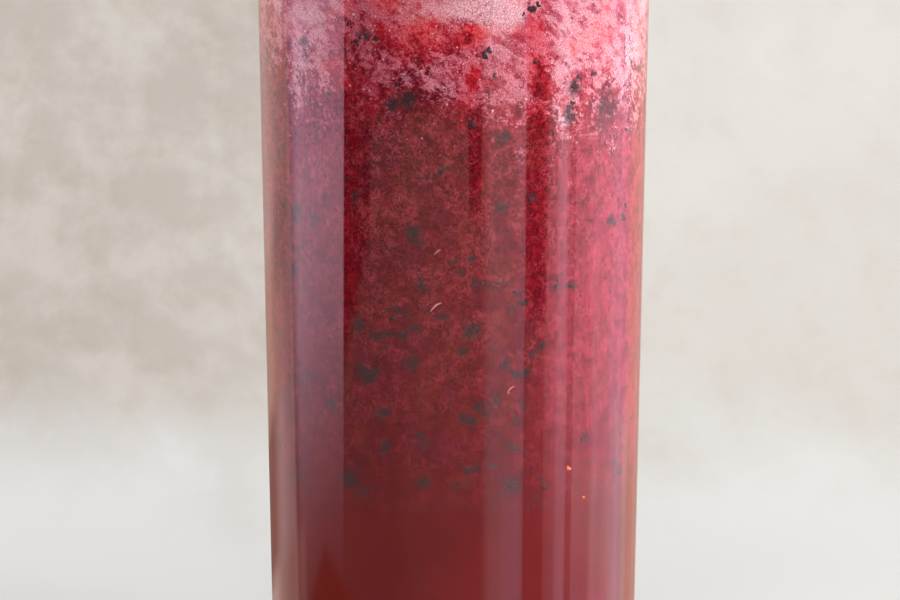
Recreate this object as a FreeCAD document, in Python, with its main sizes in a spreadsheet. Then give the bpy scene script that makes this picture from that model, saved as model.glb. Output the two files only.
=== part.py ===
import FreeCAD, Part
import math
import os
import Sketcher
from FreeCAD import Vector

# A tall clear drinking glass filled with a layered berry drink.
#
# The glass is a turned shell: a slightly tapered straight side, a rounded rim,
# a thick floor with a rounded inner corner, a rounded foot and a shallow hollow
# under the base that leaves a flat ring to stand on.
#
# The drink fills the glass wall to wall in three layers, each its own solid:
#   juice  the clear juice that has settled at the bottom
#   pulp   the thick pulp and seeds that hang above it
#   foam   the froth on top, deeper on one side, with an uneven surface
#
# Origin: centre of the underside, on the surface the glass stands on. +Z is up.

doc = FreeCAD.newDocument("LayeredDrink")

# ---------------------------------------------------------------- dimensions
sheet = doc.addObject("Spreadsheet::Sheet", "Dimensions")
SIZES = [
    # alias, value in millimetres (or degrees), what it is
    ("GlassHeight", 150.0, "foot to rim"),
    ("RimRadius", 34.15, "outside radius at the rim"),
    ("BaseRadius", 31.65, "outside radius at the foot"),
    ("WallThick", 2.0, "side wall, measured level"),
    ("FloorThick", 10.0, "thick base of the glass"),
    ("CornerRound", 5.0, "inner corner between floor and wall"),
    ("RimRound", 0.92, "both edges of the rim"),
    ("FootRound", 1.8, "outer edge of the foot"),
    ("HollowRadius", 25.0, "hollow under the base"),
    ("HollowDepth", 0.9, "hollow under the base"),
    ("HollowFlat", 6.0, "flat middle of the hollow"),
    ("JuiceLevel", 39.0, "mean top of the clear juice"),
    ("JuiceSwell", 0.7, "how uneven that level is"),
    ("PulpLevel", 109.0, "mean top of the pulp"),
    ("PulpSwell", 2.0, "how uneven that level is"),
    ("PulpLean", 5.5, "how much deeper the froth is at +X"),
    ("FoamLevel", 133.6, "mean top of the froth at the wall"),
    ("FoamSwell", 0.75, "how uneven the froth's top is"),
    ("FoamDome", 1.4, "rise of the froth at the middle"),
    ("FillTop", 146.0, "top of the tool that fills the glass"),
    ("WaveLong", 46.0, "long wavelength of the uneven levels"),
    ("WaveShort", 21.0, "short wavelength of the uneven levels"),
    ("ToolReach", 40.0, "half width of the level tools"),
    ("ToolDepth", 170.0, "how far the level tools reach down"),
    ("GridStep", 5.0, "spacing of the level surfaces' points"),
]
sheet.set("A1", "Dimension")
sheet.set("B1", "Value")
sheet.set("C1", "What it is")
for row, (alias, value, note) in enumerate(SIZES, start=2):
    sheet.set("A%d" % row, alias)
    sheet.set("B%d" % row, "%g" % value)
    sheet.set("C%d" % row, note)
    sheet.setAlias("B%d" % row, alias)
doc.recompute()


def size(alias):
    """The value of one cell, as a plain number."""
    return float(sheet.get(alias))


# ------------------------------------------------------------------- helpers
def plane_of(body, role):
    """One of a body's own origin planes."""
    for feature in body.Origin.OriginFeatures:
        if feature.Role == role:
            return feature
    raise RuntimeError("no plane " + role)


def sketch_on(body, name, role="XZ_Plane"):
    sk = body.newObject("Sketcher::SketchObject", name)
    sk.AttachmentSupport = (plane_of(body, role), [""])
    sk.MapMode = "FlatFace"
    return sk


def closed_outline(sk, points):
    """Straight lines through the points, joined end to end."""
    count = len(points)
    for i in range(count):
        a, b = points[i], points[(i + 1) % count]
        sk.addGeometry(Part.LineSegment(Vector(a[0], a[1], 0), Vector(b[0], b[1], 0)), False)
    for i in range(count):
        sk.addConstraint(Sketcher.Constraint("Coincident", i, 2, (i + 1) % count, 1))


def bound(sk, constraint, name, expression):
    """Adds a named constraint whose value follows the sheet."""
    index = sk.addConstraint(constraint)
    sk.renameConstraint(index, name)
    sk.setExpression("Constraints." + name, expression)
    return index


def rings(shape, z, radius, slack=0.05):
    """Names of the circular edges at this height with this radius."""
    found = []
    for i, edge in enumerate(shape.Edges, start=1):
        curve = edge.Curve
        if isinstance(curve, Part.Circle):
            if abs(curve.Center.z - z) < slack and abs(curve.Radius - radius) < slack:
                found.append("Edge%d" % i)
    if not found:
        raise RuntimeError("no edge at z=%g r=%g" % (z, radius))
    return found


# --------------------------------------------------------------------- glass
# Half section, turned about Z. Points run: axis at the base, foot, rim outside,
# rim inside, floor corner, axis at the floor.
H, RO, RB = size("GlassHeight"), size("RimRadius"), size("BaseRadius")
W, F = size("WallThick"), size("FloorThick")
INNER_FLOOR = "Dimensions.BaseRadius + (Dimensions.RimRadius - Dimensions.BaseRadius) * Dimensions.FloorThick / Dimensions.GlassHeight - Dimensions.WallThick"
floor_r = RB + (RO - RB) * F / H - W

glass = doc.addObject("PartDesign::Body", "GlassBody")
glass.Label = "glass"
profile = sketch_on(glass, "GlassProfile")
closed_outline(profile, [(0, 0), (RB, 0), (RO, H), (RO - W, H), (floor_r, F), (0, F)])
# lines: 0 base, 1 outside, 2 rim, 3 inside, 4 floor, 5 axis
profile.addConstraint(Sketcher.Constraint("Coincident", 0, 1, -1, 1))
for level in (0, 2, 4):
    profile.addConstraint(Sketcher.Constraint("Horizontal", level))
profile.addConstraint(Sketcher.Constraint("PointOnObject", 5, 1, -2))
bound(profile, Sketcher.Constraint("DistanceX", 0, 1, 0, 2, RB), "FootRadius", "Dimensions.BaseRadius")
bound(profile, Sketcher.Constraint("DistanceX", -1, 1, 1, 2, RO), "RimOuter", "Dimensions.RimRadius")
bound(profile, Sketcher.Constraint("DistanceY", -1, 1, 1, 2, H), "Height", "Dimensions.GlassHeight")
bound(profile, Sketcher.Constraint("DistanceX", 2, 2, 2, 1, W), "Wall", "Dimensions.WallThick")
bound(profile, Sketcher.Constraint("DistanceX", 4, 2, 4, 1, floor_r), "FloorRadius", INNER_FLOOR)
bound(profile, Sketcher.Constraint("DistanceY", -1, 1, 3, 2, F), "FloorHeight", "Dimensions.FloorThick")

turned = glass.newObject("PartDesign::Revolution", "GlassTurned")
turned.Profile = profile
turned.ReferenceAxis = (profile, ["V_Axis"])
turned.Angle = 360.0
doc.recompute()
solid_volume = turned.Shape.Volume

rim = glass.newObject("PartDesign::Fillet", "RimRounded")
rim.Base = (turned, rings(turned.Shape, H, RO) + rings(turned.Shape, H, RO - W))
rim.setExpression("Radius", "Dimensions.RimRound")
doc.recompute()

corner = glass.newObject("PartDesign::Fillet", "InnerCorner")
corner.Base = (rim, rings(rim.Shape, F, floor_r))
corner.setExpression("Radius", "Dimensions.CornerRound")
doc.recompute()

foot = glass.newObject("PartDesign::Fillet", "FootRounded")
foot.Base = (corner, rings(corner.Shape, 0.0, RB))
foot.setExpression("Radius", "Dimensions.FootRound")
doc.recompute()
before_hollow = foot.Shape.Volume

# Shallow hollow under the base: flat in the middle, then an arc out to the
# standing ring.
hollow_sketch = sketch_on(glass, "HollowProfile")
hr, hd, hf = size("HollowRadius"), size("HollowDepth"), size("HollowFlat")
arc_y = (hf * hf + hd * hd - hr * hr) / (2 * hd)
arc = Part.ArcOfCircle(
    Part.Circle(Vector(0, arc_y, 0), Vector(0, 0, 1), math.hypot(hr, arc_y)),
    math.atan2(-arc_y, hr),
    math.atan2(hd - arc_y, hf),
)
hollow_sketch.addGeometry(Part.LineSegment(Vector(0, 0, 0), Vector(hr, 0, 0)), False)
hollow_sketch.addGeometry(arc, False)
hollow_sketch.addGeometry(Part.LineSegment(Vector(hf, hd, 0), Vector(0, hd, 0)), False)
hollow_sketch.addGeometry(Part.LineSegment(Vector(0, hd, 0), Vector(0, 0, 0)), False)
hollow_sketch.addConstraint(Sketcher.Constraint("Coincident", 0, 1, -1, 1))
hollow_sketch.addConstraint(Sketcher.Constraint("Horizontal", 0))
hollow_sketch.addConstraint(Sketcher.Constraint("Coincident", 0, 2, 1, 1))
hollow_sketch.addConstraint(Sketcher.Constraint("Coincident", 1, 2, 2, 1))
hollow_sketch.addConstraint(Sketcher.Constraint("Coincident", 2, 2, 3, 1))
hollow_sketch.addConstraint(Sketcher.Constraint("Coincident", 3, 2, 0, 1))
hollow_sketch.addConstraint(Sketcher.Constraint("Horizontal", 2))
hollow_sketch.addConstraint(Sketcher.Constraint("Vertical", 3))
hollow_sketch.addConstraint(Sketcher.Constraint("PointOnObject", 1, 3, -2))
bound(hollow_sketch, Sketcher.Constraint("DistanceX", 0, 1, 0, 2, hr), "RingInner", "Dimensions.HollowRadius")
bound(hollow_sketch, Sketcher.Constraint("DistanceY", 0, 1, 3, 1, hd), "Depth", "Dimensions.HollowDepth")
bound(hollow_sketch, Sketcher.Constraint("DistanceX", 2, 2, 2, 1, hf), "Flat", "Dimensions.HollowFlat")

hollow = glass.newObject("PartDesign::Groove", "BaseHollow")
hollow.Profile = hollow_sketch
hollow.ReferenceAxis = (hollow_sketch, ["V_Axis"])
hollow.Angle = 360.0
glass.Tip = hollow
doc.recompute()
if not hollow.Shape.Volume < before_hollow - 100:
    raise RuntimeError("the hollow under the base cut nothing")

# -------------------------------------------------- the space the drink fills
# The same inner wall, floor and corner as the glass, up to above the froth.
fill = doc.addObject("PartDesign::Body", "FillBody")
fill.Label = "fill_tool"
TOP = size("FillTop")
top_r = RB + (RO - RB) * TOP / H - W
INNER_TOP = "Dimensions.BaseRadius + (Dimensions.RimRadius - Dimensions.BaseRadius) * Dimensions.FillTop / Dimensions.GlassHeight - Dimensions.WallThick"
fill_profile = sketch_on(fill, "FillProfile")
closed_outline(fill_profile, [(0, F), (floor_r, F), (top_r, TOP), (0, TOP)])
# lines: 0 floor, 1 wall, 2 top, 3 axis
fill_profile.addConstraint(Sketcher.Constraint("Horizontal", 0))
fill_profile.addConstraint(Sketcher.Constraint("Horizontal", 2))
fill_profile.addConstraint(Sketcher.Constraint("PointOnObject", 0, 1, -2))
fill_profile.addConstraint(Sketcher.Constraint("PointOnObject", 2, 2, -2))
bound(fill_profile, Sketcher.Constraint("DistanceY", -1, 1, 0, 1, F), "Floor", "Dimensions.FloorThick")
bound(fill_profile, Sketcher.Constraint("DistanceX", 0, 1, 0, 2, floor_r), "FloorRadius", INNER_FLOOR)
bound(fill_profile, Sketcher.Constraint("DistanceY", -1, 1, 1, 2, TOP), "Top", "Dimensions.FillTop")
bound(fill_profile, Sketcher.Constraint("DistanceX", 2, 2, 2, 1, top_r), "TopRadius", INNER_TOP)
fill_turned = fill.newObject("PartDesign::Revolution", "FillTurned")
fill_turned.Profile = fill_profile
fill_turned.ReferenceAxis = (fill_profile, ["V_Axis"])
fill_turned.Angle = 360.0
doc.recompute()
fill_corner = fill.newObject("PartDesign::Fillet", "FillCorner")
fill_corner.Base = (fill_turned, rings(fill_turned.Shape, F, floor_r))
fill_corner.setExpression("Radius", "Dimensions.CornerRound")
fill.Tip = fill_corner
doc.recompute()


# ------------------------------------------------------------- uneven levels
def swell(x, y, phase):
    """A smooth uneven height between about -1 and 1: crossed long and short waves."""
    long_k = 2 * math.pi / size("WaveLong")
    short_k = 2 * math.pi / size("WaveShort")
    total = 0.0
    for i, (k, weight) in enumerate(
        [(long_k, 0.42), (long_k * 1.37, 0.26), (short_k, 0.2), (short_k * 1.29, 0.12)]
    ):
        heading = phase * 1.7 + i * 2.399
        along = x * math.cos(heading) + y * math.sin(heading)
        total += weight * math.sin(k * along + phase * (i + 1) * 2.1)
    return total


def level_tool(name, height):
    """A block that ends in the smooth uneven surface z = height(x, y)."""
    reach, step = size("ToolReach"), size("GridStep")
    count = int(round(2 * reach / step)) + 1
    grid = [
        [
            Vector(-reach + i * step, -reach + j * step, height(-reach + i * step, -reach + j * step))
            for j in range(count)
        ]
        for i in range(count)
    ]
    surface = Part.BSplineSurface()
    surface.interpolate(grid)
    block = surface.toShape().extrude(Vector(0, 0, -size("ToolDepth")))
    if block.ShapeType != "Solid":
        block = Part.Solid(Part.Shell(block.Faces))
    if block.Volume < 0:
        block.reverse()
    tool = doc.addObject("Part::Feature", name)
    tool.Label = name.lower()
    tool.Shape = block
    tool.Placement = FreeCAD.Placement()
    return tool


juice_tool = level_tool(
    "JuiceLevelTool",
    lambda x, y: size("JuiceLevel") + size("JuiceSwell") * swell(x, y, 0.6),
)
# The froth reaches further down on the +X side.
pulp_tool = level_tool(
    "PulpLevelTool",
    lambda x, y: size("PulpLevel")
    + size("PulpSwell") * swell(x, y, 2.3)
    - size("PulpLean") * x / size("RimRadius"),
)
# The froth stands a little higher in the middle than at the wall.
foam_tool = level_tool(
    "FoamLevelTool",
    lambda x, y: size("FoamLevel")
    + size("FoamSwell") * swell(x, y, 4.1)
    + size("FoamDome") * (1 - (x * x + y * y) / (size("RimRadius") - size("WallThick")) ** 2),
)
doc.recompute()


# ---------------------------------------------------------------- the layers
def common(name, label, base, tool):
    made = doc.addObject("Part::Common", name)
    made.Base, made.Tool, made.Label = base, tool, label
    return made


def cut(name, label, base, tool):
    made = doc.addObject("Part::Cut", name)
    made.Base, made.Tool, made.Label = base, tool, label
    return made


juice = common("JuiceLayer", "juice", fill, juice_tool)
up_to_pulp = common("UpToPulp", "up_to_pulp", fill, pulp_tool)
pulp = cut("PulpLayer", "pulp", up_to_pulp, juice_tool)
up_to_foam = common("UpToFoam", "up_to_foam", fill, foam_tool)
foam = cut("FoamLayer", "foam", up_to_foam, pulp_tool)
doc.recompute()

# -------------------------------------------------------------------- checks
for obj in doc.Objects:
    if "Invalid" in obj.State or "Error" in obj.State:
        raise RuntimeError("%s failed: %s" % (obj.Name, obj.State))

parts = [glass, juice, pulp, foam]
for obj in parts:
    shape = obj.Shape
    if shape.isNull() or not shape.isValid() or len(shape.Solids) != 1:
        raise RuntimeError("%s has a bad shape" % obj.Label)
    box = shape.BoundBox
    print(
        "%-6s volume %9.1f mm3  z %.2f to %.2f  radius %.2f"
        % (obj.Label, shape.Volume, box.ZMin, box.ZMax, box.XMax)
    )
for i, a in enumerate(parts):
    for b in parts[i + 1 :]:
        shared = a.Shape.common(b.Shape).Volume
        if shared > 0.5:
            raise RuntimeError("%s and %s overlap by %g mm3" % (a.Label, b.Label, shared))
print(
    "glass grams %.0f, drink grams %.0f"
    % (
        glass.Shape.Volume * 2.5e-3,
        (juice.Shape.Volume * 1.04 + pulp.Shape.Volume * 1.03 + foam.Shape.Volume * 0.5) * 1e-3,
    )
)

# -------------------------------------------------------------------- export
os.makedirs("parts", exist_ok=True)
for obj in parts:
    obj.Shape.exportStep("parts/%s.step" % obj.Label)
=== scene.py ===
import math

import bpy
import numpy as np
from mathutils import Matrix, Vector


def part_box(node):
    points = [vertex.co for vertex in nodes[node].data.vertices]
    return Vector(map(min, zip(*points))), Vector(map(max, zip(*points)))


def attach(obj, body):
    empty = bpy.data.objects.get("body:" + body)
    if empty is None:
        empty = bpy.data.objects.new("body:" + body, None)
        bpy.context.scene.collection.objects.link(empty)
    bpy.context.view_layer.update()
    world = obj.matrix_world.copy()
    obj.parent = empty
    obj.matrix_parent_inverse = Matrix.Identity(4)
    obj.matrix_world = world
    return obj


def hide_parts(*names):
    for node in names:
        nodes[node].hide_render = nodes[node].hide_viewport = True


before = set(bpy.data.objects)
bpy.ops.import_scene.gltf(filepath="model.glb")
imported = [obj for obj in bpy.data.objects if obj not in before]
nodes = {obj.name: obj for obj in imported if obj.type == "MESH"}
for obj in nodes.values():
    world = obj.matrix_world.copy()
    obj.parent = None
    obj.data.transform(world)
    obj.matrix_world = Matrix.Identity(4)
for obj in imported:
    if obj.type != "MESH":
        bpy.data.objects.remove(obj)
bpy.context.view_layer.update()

MM = 0.001
scene = bpy.context.scene
rng_all = np.random.default_rng

# ------------------------------------------------------------------ the frame
# Sizes repeated from the CAD source, in millimetres.
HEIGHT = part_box("glass")[1].z / MM
RIM_R = 34.15
BASE_R = 31.65
WALL = 2.0
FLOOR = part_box("juice")[0].z / MM
CORNER = 5.0
INTO_WALL = 0.15          # how far the drink reaches into the glass wall
LEVELS = dict(juice=(39.0, 0.7, 0.6), pulp=(109.0, 2.0, 2.3), foam=(133.6, 0.75, 4.1))


def r_out(z):
    return BASE_R + (RIM_R - BASE_R) * z / 150.0


def r_in(z):
    return r_out(z) - WALL


def swell(x, y, phase):
    """The uneven levels of the layers, as in the CAD source."""
    long_k, short_k = 2 * math.pi / 46.0, 2 * math.pi / 21.0
    total = 0.0
    for i, (k, w) in enumerate([(long_k, 0.42), (long_k * 1.37, 0.26), (short_k, 0.2), (short_k * 1.29, 0.12)]):
        heading = phase * 1.7 + i * 2.399
        total = total + w * np.sin(k * (x * math.cos(heading) + y * math.sin(heading)) + phase * (i + 1) * 2.1)
    return total


def juice_level(x, y):
    return LEVELS["juice"][0] + LEVELS["juice"][1] * swell(x, y, LEVELS["juice"][2])


def pulp_level(x, y):
    return LEVELS["pulp"][0] + LEVELS["pulp"][1] * swell(x, y, LEVELS["pulp"][2]) - 5.5 * x / RIM_R


def foam_level(x, y):
    return LEVELS["foam"][0] + LEVELS["foam"][1] * swell(x, y, LEVELS["foam"][2]) + 1.4 * (1 - (x * x + y * y) / (RIM_R - WALL) ** 2)


# -------------------------------------------------------------------- numbers
def vnoise(p, scale, seed):
    """Smooth value noise, 0 to 1, at points p (n, 3) in millimetres; scale is the size of its lumps."""
    q = np.asarray(p, float) / scale + 37.17 * (seed + 1)
    i = np.floor(q).astype(np.int64)
    f = q - i
    f = f * f * f * (f * (f * 6 - 15) + 10)

    def corner(dx, dy, dz):
        h = (i[:, 0] + dx) * 73856093 ^ (i[:, 1] + dy) * 19349663 ^ (i[:, 2] + dz) * 83492791 ^ (seed * 2654435761 + 12345)
        h = h & 0xFFFFFFFF
        h = ((h ^ (h >> 15)) * 2246822519) & 0xFFFFFFFF
        h = ((h ^ (h >> 13)) * 3266489917) & 0xFFFFFFFF
        return ((h ^ (h >> 16)) & 0xFFFFFF) / float(0xFFFFFF)

    out = 0.0
    for dx in (0, 1):
        for dy in (0, 1):
            for dz in (0, 1):
                w = (f[:, 0] if dx else 1 - f[:, 0]) * (f[:, 1] if dy else 1 - f[:, 1]) * (f[:, 2] if dz else 1 - f[:, 2])
                out = out + w * corner(dx, dy, dz)
    return out


def fbm(p, scale, seed, octaves=3):
    total, weight, sum_w = 0.0, 1.0, 0.0
    for o in range(octaves):
        total = total + weight * vnoise(p, scale / 2**o, seed + 11 * o)
        sum_w += weight
        weight *= 0.5
    return total / sum_w


def smooth(a, b, x):
    t = np.clip((np.asarray(x, float) - a) / (b - a), 0, 1)
    return t * t * (3 - 2 * t)


# --------------------------------------------------------------------- meshes
def new_mesh(name, verts, faces, smooth_faces=True):
    """A mesh object from points in millimetres."""
    me = bpy.data.meshes.new(name)
    me.from_pydata((np.asarray(verts, float) * MM).tolist(), [], faces.tolist() if hasattr(faces, "tolist") else faces)
    me.polygons.foreach_set("use_smooth", [smooth_faces] * len(me.polygons))
    me.update()
    ob = bpy.data.objects.new(name, me)
    scene.collection.objects.link(ob)
    return ob


def point_values(ob, name, values):
    a = ob.data.attributes.new(name, "FLOAT", "POINT")
    a.data.foreach_set("value", np.asarray(values, np.float32))


def lathe(name, loops, pole_low=None, pole_high=None):
    """A closed skin through loops (rows, segments, 3), with a pole at each end."""
    rows, seg, _ = loops.shape
    verts = loops.reshape(-1, 3)
    j = np.arange(seg)
    k = (j + 1) % seg
    faces = []
    for r in range(rows - 1):
        a, b = r * seg, (r + 1) * seg
        faces.append(np.stack([a + j, a + k, b + k, b + j], 1))
    quads = np.concatenate(faces).tolist()
    tris = []
    n = len(verts)
    extra = []
    if pole_low is not None:
        extra.append(pole_low)
        tris += np.stack([j * 0 + n, k, j], 1).tolist()
        n += 1
    if pole_high is not None:
        extra.append(pole_high)
        a = (rows - 1) * seg
        tris += np.stack([j * 0 + n, a + j, a + k], 1).tolist()
        n += 1
    if extra:
        verts = np.concatenate([verts, np.asarray(extra, float)])
    return new_mesh(name, verts, quads + tris)


def ring(radius, seg):
    """Unit circle points times radius; segment 0 faces the viewer (-Y), running towards +X."""
    a = np.arange(seg) * 2 * math.pi / seg
    return np.stack([np.sin(a) * radius, -np.cos(a) * radius], 1)


# ------------------------------------------------------------- material nodes
class Tree:
    """Short names for building a node tree."""

    def __init__(self, mat_or_world):
        mat_or_world.use_nodes = True
        self.nt = mat_or_world.node_tree
        self.nt.nodes.clear()

    def node(self, kind, **props):
        n = self.nt.nodes.new(kind)
        for k, v in props.items():
            setattr(n, k, v)
        return n

    def put(self, socket, value):
        if value is None:
            return
        if isinstance(value, bpy.types.NodeSocket):
            self.nt.links.new(value, socket)
        elif isinstance(value, (tuple, list)) and len(value) == 3 and socket.type == "RGBA":
            socket.default_value = (*value, 1.0)
        else:
            socket.default_value = value

    def math(self, op, a, b=None, c=None, clamp=False):
        n = self.node("ShaderNodeMath", operation=op, use_clamp=clamp)
        for i, v in enumerate((a, b, c)):
            if v is not None:
                self.put(n.inputs[i], v)
        return n.outputs[0]

    def add(self, a, b):
        return self.math("ADD", a, b)

    def sub(self, a, b):
        return self.math("SUBTRACT", a, b)

    def mul(self, a, b):
        return self.math("MULTIPLY", a, b)

    def step(self, x, low, high, to_low=0.0, to_high=1.0):
        n = self.node("ShaderNodeMapRange", interpolation_type="SMOOTHSTEP")
        self.put(n.inputs["Value"], x)
        self.put(n.inputs["From Min"], low)
        self.put(n.inputs["From Max"], high)
        self.put(n.inputs["To Min"], to_low)
        self.put(n.inputs["To Max"], to_high)
        return n.outputs["Result"]

    def line(self, x, low, high, to_low=0.0, to_high=1.0):
        n = self.node("ShaderNodeMapRange", interpolation_type="LINEAR", clamp=True)
        self.put(n.inputs["Value"], x)
        self.put(n.inputs["From Min"], low)
        self.put(n.inputs["From Max"], high)
        self.put(n.inputs["To Min"], to_low)
        self.put(n.inputs["To Max"], to_high)
        return n.outputs["Result"]

    def band(self, x, low, high, soft):
        return self.mul(self.step(x, low - soft, low + soft), self.step(x, high - soft, high + soft, 1.0, 0.0))

    def mix(self, fac, a, b, blend="MIX"):
        n = self.node("ShaderNodeMix", data_type="RGBA", blend_type=blend, clamp_factor=True)
        self.put(n.inputs["Factor"], fac)
        self.put(n.inputs[6], a)
        self.put(n.inputs[7], b)
        return n.outputs[2]

    def vec(self, op, a, b=None):
        n = self.node("ShaderNodeVectorMath", operation=op)
        self.put(n.inputs[0], a)
        if b is not None:
            self.put(n.inputs["Scale"] if op == "SCALE" else n.inputs[1], b)
        return n.outputs["Value"] if op in ("LENGTH", "DOT_PRODUCT", "DISTANCE") else n.outputs[0]

    def noise(self, p, scale, detail=2.0, rough=0.5, distort=0.0, kind="FBM", lac=2.0):
        n = self.node("ShaderNodeTexNoise", noise_dimensions="3D", noise_type=kind)
        self.put(n.inputs["Vector"], p)
        self.put(n.inputs["Scale"], scale)
        self.put(n.inputs["Detail"], detail)
        self.put(n.inputs["Roughness"], rough)
        self.put(n.inputs["Lacunarity"], lac)
        self.put(n.inputs["Distortion"], distort)
        return n.outputs[0]

    def voronoi(self, p, scale, feature="F1", rand=1.0, out="Distance", detail=0.0):
        n = self.node("ShaderNodeTexVoronoi", voronoi_dimensions="3D", feature=feature)
        self.put(n.inputs["Vector"], p)
        self.put(n.inputs["Scale"], scale)
        self.put(n.inputs["Randomness"], rand)
        return n.outputs[out]

    def attr(self, name):
        return self.node("ShaderNodeAttribute", attribute_type="GEOMETRY", attribute_name=name).outputs["Fac"]

    def mm(self):
        """The point on the object, in millimetres."""
        tc = self.node("ShaderNodeTexCoord")
        return self.vec("SCALE", tc.outputs["Object"], 1.0 / MM)

    def xyz(self, v):
        n = self.node("ShaderNodeSeparateXYZ")
        self.put(n.inputs[0], v)
        return n.outputs[0], n.outputs[1], n.outputs[2]

    def bump(self, height, strength, distance):
        n = self.node("ShaderNodeBump")
        self.put(n.inputs["Height"], height)
        self.put(n.inputs["Strength"], strength)
        self.put(n.inputs["Distance"], distance)
        return n.outputs[0]

    def principled(self, **values):
        n = self.node("ShaderNodeBsdfPrincipled")
        for k, v in values.items():
            self.put(n.inputs[k.replace("_", " ")], v)
        return n.outputs[0]

    def out(self, surface, volume=None):
        n = self.node("ShaderNodeOutputMaterial")
        self.put(n.inputs["Surface"], surface)
        if volume is not None:
            self.put(n.inputs["Volume"], volume)

    def lamps_pass(self, shader):
        """Rays from lamps and soft bounces go straight through, so that what is inside clear glass is lit cleanly."""
        path = self.node("ShaderNodeLightPath")
        clear = self.node("ShaderNodeBsdfTransparent")
        inner = self.node("ShaderNodeMixShader")
        self.nt.links.new(path.outputs["Is Diffuse Ray"], inner.inputs[0])
        self.nt.links.new(shader, inner.inputs[1])
        self.nt.links.new(clear.outputs[0], inner.inputs[2])
        outer = self.node("ShaderNodeMixShader")
        self.nt.links.new(path.outputs["Is Shadow Ray"], outer.inputs[0])
        self.nt.links.new(inner.outputs[0], outer.inputs[1])
        self.nt.links.new(clear.outputs[0], outer.inputs[2])
        return outer.outputs[0]


def material(name):
    m = bpy.data.materials.new(name)
    return m, Tree(m)


# ---------------------------------------------------------------------- glass
def glass_material():
    m, t = material("clear_glass")
    p = t.mm()
    smear = t.noise(p, 0.045, 3.0, 0.55)
    rough = t.line(smear, 0.35, 0.75, 0.0, 0.003)
    wave = t.noise(p, 0.022, 1.0, 0.4)
    tint = t.mix(t.line(t.noise(p, 0.03, 1.0), 0.3, 0.7), (0.985, 0.995, 0.99), (0.975, 0.99, 0.985))
    shader = t.principled(
        Base_Color=tint, Roughness=rough, IOR=1.5, Transmission_Weight=1.0, Normal=t.bump(wave, 0.06, 0.0006)
    )
    t.out(t.lamps_pass(shader))
    return m


glass = nodes["glass"]
glass.data.materials.clear()
glass.data.materials.append(glass_material())

# ------------------------------------------------------- the look of the drink
def around(p):
    """Angle round the glass in degrees, 0 at the front and + to the right."""
    return np.degrees(np.arctan2(p[:, 0], -p[:, 1]))


def spot(p, a, z, ra, rz):
    """A soft spot centred at angle a (degrees) and height z; radii in mm along the wall and upwards."""
    d = (around(p) - a + 180) % 360 - 180
    q = (d * math.pi / 180 * 31.5 / ra) ** 2 + ((p[:, 2] - z) / rz) ** 2
    return np.exp(-q)


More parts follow.
